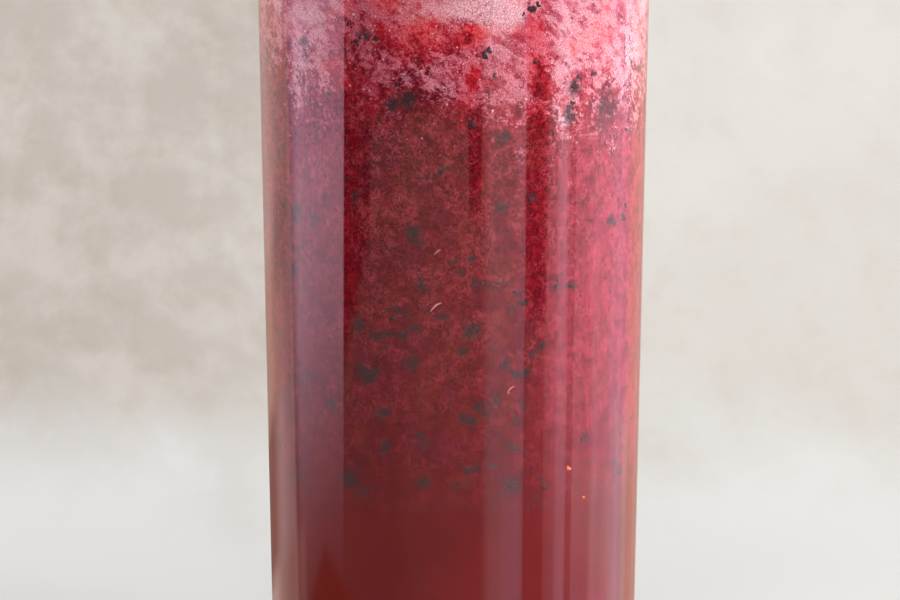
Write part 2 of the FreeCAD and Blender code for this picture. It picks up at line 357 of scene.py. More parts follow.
# Patches in the froth: angle, height, radii round and up, then how much more froth, red and white; the white column
# also carries painted light, in the two tall pale bands down the right side.
PATCHES = [
    (-47, 121, 7.0, 5.0, 0.35, 0.0, 0.42),
    (-43, 114, 4.0, 3.0, 0.15, 0.1, 0.1),
    (-53, 114, 2.6, 9.0, 0.20, 0.0, 0.45),
    (-46, 108, 7.0, 6.0, 0.20, 0.0, 0.35),
    (-47, 96.0, 6.5, 9.0, 0.12, 0.0, 0.40),
    (-28, 120, 3.6, 5.0, -0.12, 0.1, -0.25),
    (-31, 111, 3.0, 4.5, 0.02, 0.2, -0.5),
    (-26, 109, 3.6, 5.0, 0.16, 0.0, -0.55),
    (-22, 119, 2.2, 2.4, -0.3, 0.35, -0.2),
    (-9, 119.5, 4.5, 4.5, -0.15, 1.0, 0.0),
    (-32, 117.5, 2.6, 6.0, -0.2, 0.1, -0.25),
    (-14, 115, 2.2, 1.2, -0.2, 0.5, -0.1),
    (-12, 112.5, 5.0, 2.2, 0.3, -0.2, 0.1),
    (-2, 109.0, 4.5, 2.0, 0.25, 0.0, 0.0),
    (5, 123.2, 7.0, 2.2, 0.7, 0.1, 1.2),
    (15, 122.5, 4.5, 2.4, 0.6, -0.2, 1.0),
    (4, 118.4, 2.3, 1.6, -0.6, 1.2, -0.4),
    (9, 119.4, 2.0, 1.1, 0.0, 0.9, 0.0),
    (14, 117.6, 3.2, 3.2, 0.35, 0.1, 0.35),
    (13, 112.0, 3.0, 2.0, 0.2, 0.2, 0.0),
    (6, 112.5, 1.2, 2.6, -0.3, 0.7, -0.2),
    (17, 108.5, 3.0, 2.4, 0.2, 0.0, 0.1),
    (7, 107.5, 2.0, 1.5, 0.1, 0.0, 0.0),
    (24.5, 119.5, 1.7, 2.6, -0.35, 0.8, -0.4),
    (26, 113.0, 1.8, 4.5, -0.6, 0.55, -0.5),
    (26, 104.0, 1.8, 5.0, -0.2, 0.5, -0.3),
    (26, 88.0, 1.9, 13.0, 0.0, 0.75, -0.3),
    (-32.5, 101.0, 2.2, 7.0, -0.15, 0.6, -0.2),
    (-24, 106.5, 3.4, 2.6, 0.3, 0.0, -0.5),
    (-17, 104.0, 3.0, 2.2, 0.2, 0.0, -0.4),
    (-33.5, 84.0, 2.0, 15.0, 0.0, 0.85, 0.0),
    (8, 97.0, 1.6, 6.0, 0.0, 0.7, 0.0),
    (20, 98.5, 1.4, 1.8, 0.4, -0.2, 0.45),
    (37.5, 93.5, 1.2, 1.6, 0.22, 0.0, 0.3),
    (35.5, 104.0, 2.6, 2.4, 0.22, 0.0, 0.4),
    (55, 98.0, 1.2, 2.2, 0.25, 0.0, 0.4),
    (14.5, 102.5, 3.6, 6.0, 0.2, 0.1, 0.0),
    (3.5, 106.0, 1.8, 5.0, 0.1, 0.4, -0.2),
    (32, 98.0, 3.0, 5.0, 0.15, 0.0, 0.1),
    (-10, 103.0, 5.0, 2.5, 0.12, 0.0, 0.0),
    (-38, 99.0, 5.0, 8.0, 0.10, 0.0, 0.15),
    # painted light: these two tall pale bands down the right side (54 and 36 degrees round) stand in for the light
    # falling on the drink from the right; they add no froth or red
    (54, 84.0, 10.5, 42.0, 0.0, 0.0, 0.72),
    (36, 80.0, 5.0, 45.0, 0.0, 0.0, 0.26),
    (33, 121.0, 4.0, 4.0, 0.25, -0.2, 0.15),
    (33, 114.0, 3.0, 3.0, 0.15, 0.1, 0.25),
    (39, 116.5, 2.4, 1.8, 0.0, 0.9, 0.0),
    (46, 118.5, 2.6, 1.8, 0.0, 0.8, 0.0),
    (44, 122.0, 5.0, 2.4, 0.1, 0.0, 0.14),
    (52, 116.0, 4.0, 5.0, 0.15, 0.25, 0.1),
    (38, 108.0, 4.5, 3.2, 0.15, 0.2, 0.05),
    (52, 107.0, 3.2, 3.2, -0.3, 0.0, -0.5),
    (60, 111.0, 4.0, 6.0, 0.15, 0.1, 0.1),
    (44, 103.0, 6.0, 3.0, 0.05, 0.1, 0.1),
]


def froth_amount(p):
    """0 in the pulp, 1 in the dry froth, ragged between, at points in millimetres."""
    x, y, z = p[:, 0], p[:, 1], p[:, 2]
    above = z - pulp_level(x, y)
    rag = 10 * (fbm(p, 8.0, 3, 3) - 0.5) + 9 * (fbm(p, 2.6, 5, 3) - 0.5)
    base = smooth(-9, 15, above + rag)
    for a, zc, ra, rz, f, _, _ in PATCHES:
        base = base + f * spot(p, a, zc, ra, rz)
    return np.clip(base, 0, 1.25)


def patch_sum(p, which):
    total = np.zeros(len(p))
    for t in PATCHES:
        total = total + t[which] * spot(p, t[0], t[1], t[2], t[3])
    return total


def red_amount(p):
    other = np.abs(around(p)) > 62
    wild = smooth(0.60, 0.74, fbm(p, 5.0, 41, 3)) * smooth(100, 116, p[:, 2])
    return np.clip(patch_sum(p, 5) * (0.75 + 0.5 * fbm(p, 2.2, 43, 2)) + wild * np.where(other, 0.9, 0.55), -0.5, 1.2)


# How pale the drink is: real white froth and paler patches, and painted light where the tall bands on the right and
# the top of the foam add to it.
def pale_and_painted_light(p):
    other = np.abs(around(p)) > 62
    wild = smooth(0.50, 0.72, fbm(p, 7.0, 47, 3)) * smooth(108, 126, p[:, 2])
    # painted light: paler towards the top of the foam, standing in for light from above glowing through it
    top = smooth(128, 134, p[:, 2]) * 0.6
    rosy = 0.45 * smooth(0.45, 0.7, fbm(p * (1, 1, 0.35), 16.0, 53, 2)) * other
    return np.clip(patch_sum(p, 6) + wild * np.where(other, 0.7, 0.25) + top + rosy, -0.6, 1.2)


def juice_tone(t, p):
    haze = t.noise(p, 0.07, 3.0, 0.5)
    return t.mix(t.line(haze, 0.3, 0.7), (0.118, 0.0027, 0.0055), (0.152, 0.0054, 0.0084))


def layer_mix(t, p, level, juice_colour, pulp_colour):
    """Juice below, pulp above, running down into one another in soft streaks."""
    tall = t.vec("MULTIPLY", p, (1.0, 1.0, 0.22))
    streak = t.noise(tall, 0.36, 3.0, 0.6)
    return t.mix(t.step(t.add(level, t.mul(t.sub(streak, 0.5), 22.0)), -10.0, 12.0), juice_colour, pulp_colour)


def pulp_colour(t, p, froth, red, pale, soft):
    x, y, z = t.xyz(p)
    n_big = t.noise(p, 0.11, 2.0, 0.5)
    n_mid = t.noise(p, 0.40, 2.0, 0.55, 0.3)
    n_small = t.noise(p, 1.05, 3.0, 0.68, 0.7)
    n_fine = t.noise(p, 3.2, 1.0, 0.6)
    calm = t.line(z, 34, 100, 0.0, 1.0)
    keen = t.line(calm, 0, 1, 0.22, 1.0)
    redder = t.math("MAXIMUM", red, 0.0)

    # pulp: deep red, clouded paler, browner and more purple, with fine pale fibres that show best near the top
    deep = t.mix(t.line(n_big, 0.3, 0.7), (0.082, 0.0006, 0.004), (0.145, 0.0022, 0.007))
    soft_light = t.mul(t.step(n_mid, 0.40, 0.66), t.line(z, 45, 95, 0.6, 0.85))
    body = t.mix(soft_light, deep, (0.180, 0.0045, 0.011))
    n_hue = t.noise(p, 0.19, 2.0, 0.55, 0.4)
    body = t.mix(t.step(n_hue, 0.50, 0.66, 0.0, 0.45), body, (0.115, 0.003, 0.017))
    body = t.mix(t.step(n_hue, 0.36, 0.50, 0.45, 0.0), body, (0.165, 0.014, 0.010))
    # pale brings real white froth and paler pulp, and also painted light: the tall bands down the right side and the
    # paler top of the foam.
    body = t.mix(t.mul(t.math("MAXIMUM", pale, 0.0), t.line(n_mid, 0.3, 0.7, 0.35, 1.0)), body, (0.405, 0.030, 0.068))
    cluster = t.step(t.add(t.noise(p, 0.24, 2.0, 0.6), t.mul(t.sub(n_mid, 0.5), 0.7)), 0.40, 0.62)
    plenty = t.mul(t.line(cluster, 0, 1, 0.30, 1.0), t.line(redder, 0.0, 0.8, 1.0, 0.45))
    body = t.mix(t.mul(redder, 0.75), body, (0.17, 0.0004, 0.0065))
    body = t.mix(t.mul(redder, t.step(n_small, 0.48, 0.62, 0.0, 0.8)), body, (0.30, 0.0012, 0.010))
    drips = t.noise(t.vec("MULTIPLY", p, (1.0, 1.0, 0.10)), 0.55, 3.0, 0.6)
    body = t.mix(t.mul(t.step(drips, 0.44, 0.62), t.line(calm, 0, 1, 0.40, 0.0)), body, (0.085, 0.0012, 0.006))
    # lit carries the same paleness: real froth, and painted light where the bands and the foam top add to it.
    lit = t.math("MAXIMUM", pale, 0.0)
    plenty = t.mul(plenty, t.mul(t.line(lit, 0.1, 0.8, 1.0, 0.50), t.line(calm, 0, 1, 0.55, 1.0)))
    fleece = t.mix(lit, (0.38, 0.043, 0.063), (0.62, 0.10, 0.155))
    threads = t.mix(lit, (0.52, 0.105, 0.130), (0.80, 0.23, 0.30))
    fibre = t.mul(t.step(t.add(n_small, t.mul(t.sub(n_fine, 0.5), 0.6)), 0.46, 0.70), plenty)
    body = t.mix(t.mul(fibre, t.mul(keen, 0.75)), body, fleece)
    shade = t.mul(t.step(t.add(n_small, t.mul(t.sub(n_fine, 0.5), 0.4)), 0.30, 0.50, 1.0, 0.0), t.mul(keen, 0.8))
    body = t.mix(shade, body, (0.045, 0.0005, 0.0035))
    for scale, wide, strength in ((0.75, 0.021, 0.42), (1.7, 0.034, 0.26)):
        wave = t.math("ABSOLUTE", t.sub(t.noise(p, scale, 3.0, 0.6, 0.7), 0.5))
        wisp = t.mul(t.step(wave, wide * 0.2, wide, 1.0, 0.0), t.mul(plenty, t.mul(keen, strength)))
        body = t.mix(wisp, body, threads)

    # froth: pale grains of foam in red liquid
    vor = t.node("ShaderNodeTexVoronoi", voronoi_dimensions="3D", feature="F1")
    t.put(vor.inputs["Vector"], p)
    t.put(vor.inputs["Scale"], 3.7)
    cell_r, cell_g, _ = t.xyz(vor.outputs["Color"])
    near = t.step(vor.outputs["Distance"], 0.30, 0.58, 1.0, 0.0)
    slant = t.node("ShaderNodeCombineXYZ")
    t.put(slant.inputs[0], x)
    t.put(slant.inputs[1], y)
    t.put(slant.inputs[2], t.mul(t.add(z, t.mul(x, 0.45)), 1.45))
    slant = slant.outputs[0]
    clump = t.add(t.mul(t.noise(slant, 0.55, 3.0, 0.62, 0.2), 0.55), t.mul(t.noise(slant, 0.23, 2.0, 0.5, 0.15), 0.45))
    lumps = t.step(clump, 0.42, 0.58)
    ragged = t.add(t.mul(t.sub(n_small, 0.5), 3.1), t.mul(t.sub(clump, 0.5), 3.0))
    cover = t.add(froth, t.mul(ragged, t.line(froth, 0.0, 0.5, 0.35, 1.0)))
    grain = t.step(t.sub(cover, t.line(cell_r, 0, 1, 0.20, 0.80)), -0.38, 0.38)
    grain = t.mul(grain, t.line(near, 0, 1, 0.55, 1.0))
    liquid = t.mix(t.step(n_mid, 0.35, 0.6), (0.10, 0.001, 0.007), (0.28, 0.005, 0.018))
    liquid = t.mix(redder, liquid, (0.54, 0.010, 0.020))
    tint = t.mix(t.add(t.mul(cell_g, 0.3), t.mul(lumps, 0.7)), (0.40, 0.036, 0.075), (0.76, 0.24, 0.32))
    tint = t.mix(redder, tint, (0.71, 0.100, 0.112))
    white = t.mul(t.math("MAXIMUM", pale, 0.0), t.step(t.add(lumps, t.mul(pale, 1.4)), 0.35, 1.3))
    tint = t.mix(white, tint, (0.86, 0.48, 0.55))
    tint = t.mix(t.math("MAXIMUM", t.mul(pale, -1.0), 0.0), tint, (0.30, 0.040, 0.085))
    foam = t.mix(grain, liquid, tint)
    dots = t.voronoi(p, 2.6)
    dots = t.mul(t.step(dots, 0.12, 0.36, 1.0, 0.0), t.step(froth, 0.12, 0.6))
    dark_dots = t.mix(white, (0.12, 0.004, 0.02), (0.46, 0.10, 0.15))
    foam = t.mix(t.mul(dots, 0.78), foam, dark_dots)

    mixing = t.step(t.add(froth, t.mul(t.sub(n_small, 0.5), 0.9)), 0.10, 0.55)
    colour = t.mix(mixing, body, foam)
    ragged = t.add(t.mul(soft, 1.1), t.mul(t.sub(t.noise(p, 0.85, 3.0, 0.62), 0.5), 1.5))
    ragged = t.mul(t.step(ragged, 0.22, 1.15), t.step(soft, 0.0, 0.3))
    colour = t.mix(t.mul(ragged, 0.90), colour, (0.030, 0.020, 0.024))
    return colour, n_mid, n_small, dots


def drink_material():
    m, t = material("froth_and_pulp")
    p = t.mm()
    colour, n_mid, n_small, dots = pulp_colour(t, p, t.attr("froth"), t.attr("red"), t.attr("pale"), t.attr("soft"))
    colour = layer_mix(t, p, t.attr("level"), juice_tone(t, p), colour)
    relief = t.bump(t.add(n_small, t.mul(dots, -0.5)), 0.5, 0.0003)
    t.out(t.principled(Base_Color=colour, Roughness=0.6, Specular_IOR_Level=0.03, Normal=relief))
    return m


DRINK = drink_material()

# Seeds and scraps of skin on the front: angle, height, size in mm.
FRONT_SEEDS = [
    (-32.6, 120.4, 0.9), (-29.6, 117.3, 1.2), (-23.4, 118.1, 0.9), (23.2, 123.0, 1.6), (9.0, 115.6, 1.5),
    (12.0, 112.3, 0.8), (24.3, 114.3, 0.8), (38.3, 110.1, 1.5), (40.2, 111.4, 1.2), (45.9, 111.7, 1.1),
    (36.2, 106.2, 1.4), (5.5, 104.1, 1.4), (-22.7, 104.7, 1.0), (-17.0, 110.6, 0.8), (-13.0, 107.8, 1.3),
    (-40.0, 108.4, 0.9), (31.0, 102.2, 0.9), (-3.9, 96.1, 1.1), (-30.6, 91.6, 1.0), (23.2, 91.3, 0.8),
    (12.8, 89.7, 0.9), (56.4, 87.0, 0.9), (0.6, 81.3, 0.8), (-9.7, 77.2, 0.9), (8.4, 77.7, 0.9),
    (13.3, 77.5, 0.9), (18.6, 76.0, 0.9), (32.7, 76.6, 0.9), (38.0, 76.4, 1.1), (21.6, 73.9, 0.8),
    (5.7, 69.7, 1.3), (-14.1, 69.6, 0.9), (28.1, 66.3, 0.8), (14.7, 63.8, 0.9), (13.2, 57.7, 0.9),
    (22.2, 56.1, 0.9), (-51.8, 60.2, 1.2), (43.5, 49.8, 0.9), (-34.5, 43.3, 1.5), (17.8, 43.1, 1.2),
    (29.0, 42.5, 1.1), (25.2, 39.3, 0.8), (11.7, 46.4, 0.9),
]
# The same, hanging deeper and so seen softly.
FRONT_SOFT = [
    (-17.5, 72.9, 1.0), (-4.3, 72.2, 0.9), (-23.4, 68.1, 1.0), (2.7, 66.2, 1.0), (19.5, 62.0, 1.0), (-28.9, 62.2, 1.3),
    (-26.2, 61.6, 1.3), (7.3, 56.5, 1.0), (-41.2, 55.9, 1.1), (-21.9, 55.3, 1.0), (4.9, 54.3, 1.0), (18.7, 49.4, 1.0),
    (-21.4, 49.5, 1.0), (-57.2, 42.3, 1.1), (-29.4, 41.8, 1.2), (-8.7, 43.9, 1.0), (0.6, 43.3, 1.0), (4.3, 46.0, 1.0),
    (-43.6, 36.5, 1.0), (-3.1, 33.7, 0.7), (-18.5, 107.0, 1.3), (15.0, 102.0, 1.3), (36.5, 104.5, 1.3),
    (-27.0, 118.6, 1.3), (-50.0, 117.0, 1.0), (-55.0, 88.0, 1.6), (-57.0, 78.0, 1.3), (-30.0, 70.0, 1.4), (-12.0, 86.0, 1.5),
    (-34.5, 43.3, 2.0), (5.7, 69.7, 1.7), (17.8, 43.1, 1.6), (-14.0, 108.2, 1.8), (38.0, 109.5, 1.6), (-13.0, 64.0, 1.3),
]


def soft_flecks(p, count, seed):
    """Seeds that hang a little way in, seen softly: dark spots on the skin."""
    g = rng_all(seed)
    total = np.zeros(len(p))
    ang = around(p)
    spots = [(a, z, s * 1.25, s * 1.15, 0.9) for a, z, s in FRONT_SOFT] + [(53.0, 106.0, 3.4, 4.2, 0.72), (51.0, 103.0, 2.2, 2.4, 0.60)]
    same = rng_all(25)
    for a, z, s in FRONT_SEEDS + FRONT_SOFT:
        if z < 100:
            for _ in range(3):
                spots.append((a + same.normal(0, 1.7), z + same.normal(0, 0.8), same.uniform(0.7, 1.25), same.uniform(0.6, 1.0), same.uniform(0.6, 0.95)))
    known = len(spots)
    while len(spots) < count + known:
        a = g.uniform(-180, 180)
        if abs(a) < 60 and g.random() < 0.75:
            continue
        z, k = 36 + 90 * g.random() ** 1.1, g.uniform(0.55, 1.0)
        for _ in range(int(g.integers(1, 4))):
            spots.append((a + g.normal(0, 1.3), z + g.normal(0, 0.7), g.uniform(0.7, 1.4), g.uniform(0.7, 1.2), k))
    for a, zc, w, h, k in spots:
        d = np.abs((ang - a + 180) % 360 - 180) * math.pi / 180 * 31.5
        near = (d < 6) & (np.abs(p[:, 2] - zc) < 6)
        q = np.hypot(d[near] / w, (p[near, 2] - zc) / h)
        total[near] = np.maximum(total[near], k * smooth(1.7, 0.1, q))
    return total


def skin_rows(z_low, z_high, step):
    """Loops on the wall of the glass between two levels, which change round it."""
    c = ring(1.0, SEG)
    low = z_low(c[:, 0] * 31, c[:, 1] * 31)
    high = z_high(c[:, 0] * 31, c[:, 1] * 31)
    rows = int(round((high - low).mean() / step))
    out = []
    for f in [0, 0.0004, *np.linspace(0, 1, rows + 1)[1:-1], 0.9996, 1]:
        z = low + (high - low) * f
        r = r_in(z) + INTO_WALL
        out.append(np.column_stack([c * r[:, None], z]))
    return out


def pulp_piece():
    rows = skin_rows(juice_level, pulp_level, 0.42)
    low_r, high_r = np.hypot(*rows[0][0, :2]), np.hypot(*rows[-1][0, :2])
    bottom = []
    for f in (0.15, 0.4, 0.65, 0.85, 0.96):
        c = ring(low_r * f, SEG)
        bottom.append(np.column_stack([c, juice_level(c[:, 0], c[:, 1])]))
    top = []
    for f in (0.985, 0.9, 0.7, 0.45, 0.2):
        c = ring(high_r * f, SEG)
        top.append(np.column_stack([c, pulp_level(c[:, 0], c[:, 1])]))
    loops = np.array(bottom + rows + top)
    ob = lathe("pulp_body", loops, (0, 0, float(juice_level(0.0, 0.0))), (0, 0, float(pulp_level(0.0, 0.0))))
    finish_drink(ob, "pulp", 150, 21)
    return ob


def foam_piece():
    rows = skin_rows(pulp_level, lambda x, y: foam_level(x, y) + 0.5, 0.5)
    # the lowest row is tucked behind the pulp's skin
    tuck = rows[0].copy()
    tuck[:, :2] *= 0.996
    tuck[:, 2] -= 0.6
    inner = []
    for f in (0.2, 0.5, 0.8):
        c = ring(31.0 * f, SEG)
        inner.append(np.column_stack([c, pulp_level(c[:, 0], c[:, 1]) - 0.6]))
    rim_r = np.hypot(rows[-1][:, 0], rows[-1][:, 1]).mean()
    top = []
    for f in np.linspace(1, 0, 62)[1:-1]:
        r = rim_r * (f**0.92)
        c = ring(r, SEG)
        p = np.column_stack([c, foam_level(c[:, 0], c[:, 1])])
        lumps = 1.1 * (fbm(p * (1, 1, 0), 5.5, 31, 3) - 0.5) + 0.5 * (fbm(p * (1, 1, 0), 1.6, 37, 2) - 0.5)
        climb = 0.5 * np.exp(-(rim_r - r) / 1.2)
        p[:, 2] += lumps * smooth(0, 1.5, rim_r - r) + climb
        top.append(p)
    loops = np.array(inner + [tuck] + rows + top)
    ob = lathe(
        "foam_body", loops, (0, 0, float(pulp_level(0.0, 0.0)) - 0.6), (0, 0, float(top[-1][:, 2].mean()))
    )
    finish_drink(ob, "foam", 26, 22)
    return ob


def mesh_points(ob):
    p = np.empty(len(ob.data.vertices) * 3, np.float32)
    ob.data.vertices.foreach_get("co", p)
    return p.reshape(-1, 3).astype(float) / MM


def finish_drink(ob, node, flecks, seed):
    p = mesh_points(ob)
    point_values(ob, "froth", froth_amount(p))
    point_values(ob, "red", red_amount(p))
    point_values(ob, "pale", pale_and_painted_light(p))
    point_values(ob, "soft", soft_flecks(p, flecks, seed))
    point_values(ob, "level", p[:, 2] - juice_level(p[:, 0], p[:, 1]))
    ob.data.materials.append(DRINK)
    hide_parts(node)
    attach(ob, "root")


# ---------------------------------------------------------------------- juice
def juice_piece():
    seg = SEG
    loops = []
    floor_r = r_in(FLOOR)
    # floor, from the middle outwards, just into the glass
    for f in (0.25, 0.55, 0.85, 1.0):
        c = ring((floor_r - CORNER) * f, seg)
        loops.append(np.column_stack([c, np.full(seg, FLOOR - INTO_WALL)]))
    # rounded corner
    for a in np.linspace(0, math.pi / 2, 9)[1:]:
        r = floor_r - CORNER + (CORNER + INTO_WALL) * math.sin(a)
        z = FLOOR + CORNER - (CORNER + INTO_WALL) * math.cos(a)
        loops.append(np.column_stack([ring(r, seg), np.full(seg, z)]))
    # wall, up to the pulp
    z0 = FLOOR + CORNER
    for f in [*np.linspace(0, 1, 41)[1:-1], 0.999, 1]:
        c = ring(1.0, seg)
        top = juice_level(c[:, 0] * 31, c[:, 1] * 31)
        z = z0 + (top - z0) * f
        r = r_in(z) + INTO_WALL
        loops.append(np.column_stack([c * r[:, None], z]))
    # tucked up into the pulp
    for f, lift in ((0.985, 0.35), (0.7, 0.5), (0.35, 0.5)):
        c = ring(30.3 * f, seg)
        loops.append(np.column_stack([c, juice_level(c[:, 0], c[:, 1]) + lift]))
    loops = np.array(loops)
    ob = lathe("juice_body", loops, (0, 0, FLOOR - INTO_WALL), (0, 0, float(juice_level(0.0, 0.0)) + 0.5))
    q = mesh_points(ob)
    point_values(ob, "level", q[:, 2] - juice_level(q[:, 0], q[:, 1]))
    point_values(ob, "soft", soft_flecks(q, 6, 23))
    point_values(ob, "red", red_amount(q))
    point_values(ob, "pale", pale_and_painted_light(q))
    m, t = material("settled_juice")
    p = t.mm()
    x, y, z = t.xyz(p)
    level = t.attr("level")
    upper, n_mid, n_small, dots = pulp_colour(t, p, 0.0, t.attr("red"), t.attr("pale"), t.attr("soft"))
    colour = layer_mix(t, p, level, juice_tone(t, p), upper)
    cloudy = t.principled(Base_Color=colour, Roughness=0.6, Specular_IOR_Level=0.0)
    t.out(cloudy)
    ob.data.materials.append(m)
    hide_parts("juice")
    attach(ob, "root")
    return ob


SEG = 480
juice_piece()
pulp_piece()
foam_piece()


# ----------------------------------------------------------------------- seeds
def on_skin(a, z, lift):
    """A point at angle a from the front (towards +X) and height z, lift mm outside the drink's skin; with the radial, round and up directions."""
    out = np.array([math.sin(a), -math.cos(a), 0.0])
    along = np.array([math.cos(a), math.sin(a), 0.0])
    r = r_in(z) + INTO_WALL + lift
    return np.array([out[0] * r, out[1] * r, z]), out, along, np.array([0.0, 0.0, 1.0])


def chip(g, size, thick, sides=12):
    """A flat irregular scrap with bevelled edges in local (round, up, out) axes, centred."""
    a = np.arange(sides) * 2 * math.pi / sides + g.uniform(-0.2, 0.2, sides)
    lobes = 0.62 + 0.22 * np.sin(2 * a + g.uniform(0, 6)) + 0.14 * np.sin(3 * a + g.uniform(0, 6))
    rad = size * np.clip(lobes + g.normal(0, 0.13, sides), 0.28, 1.1)
    x, y = rad * np.cos(a), rad * np.sin(a)
    layers = [(0.70, -thick), (1.0, -thick * 0.35), (0.95, thick * 0.35), (0.55, thick * g.uniform(0.7, 1.0))]
    verts = [np.column_stack([x * s, y * s, np.full(sides, h)]) for s, h in layers]
    verts = np.concatenate(verts + [np.array([[0, 0, -thick * 1.05], [0, 0, thick * 1.1]])])
    faces = []
    n = sides
    for l in range(3):
        for i in range(n):
            k = (i + 1) % n
            faces.append((l * n + i, l * n + k, (l + 1) * n + k, (l + 1) * n + i))
    for i in range(n):
        k = (i + 1) % n
        faces.append((4 * n, k, i))
        faces.append((4 * n + 1, 3 * n + i, 3 * n + k))
    return verts, faces


def scatter(name, items, mat, values=None, smooth_faces=True):
    """Joins (verts, faces) items into one piece. values: {attribute: one number per item}."""
    verts, faces, base = [], [], 0
    owner = []
    for i, (v, f) in enumerate(items):
        verts.append(v)
        faces += [tuple(base + j for j in face) for face in f]
        owner += [i] * len(v)
        base += len(v)
    ob = new_mesh(name, np.concatenate(verts), faces, smooth_faces)
    for key, val in (values or {}).items():
        point_values(ob, key, np.asarray(val)[owner])
    ob.data.materials.append(mat)
    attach(ob, "root")
    return ob


def seed_material():
    m, t = material("dark_seeds")
    p = t.mm()
    tone = t.attr("tone")
    n = t.noise(p, 2.6, 3.0, 0.65)
    col = t.mix(t.line(n, 0.3, 0.75), (0.006, 0.005, 0.007), (0.045, 0.032, 0.038))
    col = t.mix(t.mul(tone, t.line(n, 0.35, 0.7)), col, (0.13, 0.030, 0.045))
    t.out(t.principled(Base_Color=col, Roughness=0.5, Specular_IOR_Level=0.1, Normal=t.bump(n, 0.4, 0.0001)))
    return m


def seed_piece():
    g = rng_all(7)
    items, tone = [], []
    places = [(a, z, s) for a, z, s in FRONT_SEEDS]
    while len(places) < 330:
        a = g.uniform(-180, 180)
        z = 41 + 86 * g.random() ** 1.05
        s = float(np.clip(g.lognormal(math.log(0.95), 0.3), 0.5, 1.6))
        if abs(a) < 60:
            if g.random() < 0.6:
                continue
            s *= 0.45
        places.append((a, z, s))
    for a, z, s in places:
        for j in range(int(g.integers(1, 4)) if s > 0.7 else 1):
            da, dz = (0.0, 0.0) if j == 0 else (g.normal(0, 0.42 * s), g.normal(0, 0.42 * s))
            size = s * (0.66 if j == 0 else g.uniform(0.25, 0.5)) * (0.8 if z < 70 else 1.0)
            c, out, along, up = on_skin(math.radians(a) + da / 31.0, z + dz, g.uniform(-0.03, 0.04))
            v, f = chip(g, size, 0.11)
            v = c + v[:, :1] * along + v[:, 1:2] * up + v[:, 2:] * out
            items.append((v, f))
            tone.append(g.random() * (0.8 if z > 95 else 1.0))
    return scatter("seeds", items, seed_material(), {"tone": tone})


seed_piece()


# ------------------------------------------------------------------ pulp bits
def worm(g, length, thick, curl):
    """A short bent fibre in local (round, up) axes: three-sided, tapering to its ends."""
    n = 5
    heading = g.uniform(0, 2 * math.pi)
    pts = [np.zeros(2)]
    for _ in range(n - 1):
        heading += g.normal(0, curl)
        pts.append(pts[-1] + np.array([math.cos(heading), math.sin(heading)]) * length / (n - 1))
    pts = np.array(pts)
    pts -= pts.mean(0)
    verts = []
    for i in range(n):
        d = pts[min(i + 1, n - 1)] - pts[max(i - 1, 0)]
        d = d / (np.linalg.norm(d) + 1e-9)
        side = np.array([-d[1], d[0]])
        w = thick * (0.35 if i in (0, n - 1) else 1.0) * g.uniform(0.7, 1.3)
        for cs, sn in ((1.0, -0.5), (-1.0, -0.5), (0.0, 1.0)):
            q = pts[i] + side * w * cs
            verts.append([q[0], q[1], w * 0.7 * sn])
    faces = []
    for i in range(n - 1):
        for s in range(3):
            k = (s + 1) % 3
            faces.append((i * 3 + s, i * 3 + k, (i + 1) * 3 + k, (i + 1) * 3 + s))
    faces.append((0, 2, 1))
    faces.append(((n - 1) * 3, (n - 1) * 3 + 1, (n - 1) * 3 + 2))
    return np.array(verts), faces


def bits_material():
    m, t = material("pulp_fibres")
    p = t.mm()
    tone = t.attr("tone")
    n = t.noise(p, 2.4, 2.0)
    col = t.mix(tone, (0.20, 0.010, 0.020), (0.45, 0.09, 0.115))
    col = t.mix(t.line(n, 0.3, 0.7, 0.0, 0.6), col, (0.30, 0.025, 0.045))
    col = t.mix(t.step(tone, 1.2, 1.8), col, (0.64, 0.23, 0.27))
    t.out(t.principled(Base_Color=col, Roughness=0.5, Specular_IOR_Level=0.1))
    return m


def bits_piece():
    g = rng_all(11)
    items, tone = [], []
    n = 0
    while n < 3000:
        a = g.uniform(-math.pi, math.pi)
        z = 44 + 86 * g.random()
        if g.random() > 0.08 + 0.92 * float(smooth(66, 106, z)):
            continue
        if z < 100 and (a < -0.6 or abs(a - 0.45) < 0.09) and a > -1.1 and g.random() < 0.85:
            continue
        c, out, along, up = on_skin(a, z, -0.01)
        here = float(fbm(c[None], 4.0, 71, 2)[0])
        if g.random() > smooth(0.36, 0.62, here):
            continue
        v, f = worm(g, g.uniform(0.4, 1.4), g.uniform(0.035, 0.085), 0.55)
        v = c + v[:, :1] * along + v[:, 1:2] * up + v[:, 2:] * out
        items.append((v, f))
        tone.append(float(np.clip(g.normal(0.2 + 0.5 * smooth(60, 110, z), 0.28), 0, 1)))
        n += 1
    for a, z, long, thick in ((-5.15, 73.9, 2.2, 0.13), (17.9, 59.7, 1.5, 0.09), (-4.6, 83.0, 1.4, 0.07)):
        c, out, along, up = on_skin(math.radians(a), z, 0.0)
        bow = np.linspace(-1, 1, 9)
        spine = np.column_stack([0.42 * long * bow - 0.1, 0.34 * long * bow - 0.16 * long * bow ** 2])
        verts, faces = [], []
        for i, q in enumerate(spine):
            w = thick * (1.0 - 0.75 * bow[i] ** 2)
            for k in range(6):
                verts.append(c + (q[0] - 0.6 * w * math.cos(k * math.pi / 3)) * along + (q[1] + w * math.cos(k * math.pi / 3)) * up
                             + 0.8 * w * math.sin(k * math.pi / 3) * out)
        for i in range(8):
            for k in range(6):
                m = (k + 1) % 6
                faces.append((i * 6 + k, i * 6 + m, (i + 1) * 6 + m, (i + 1) * 6 + k))
        faces += [(5, 4, 3, 2, 1, 0), (48, 49, 50, 51, 52, 53)]
        items.append((np.array(verts), faces))
        tone.append(2.0)
    return scatter("pulp_fibres", items, bits_material(), {"tone": tone})


bits_piece()


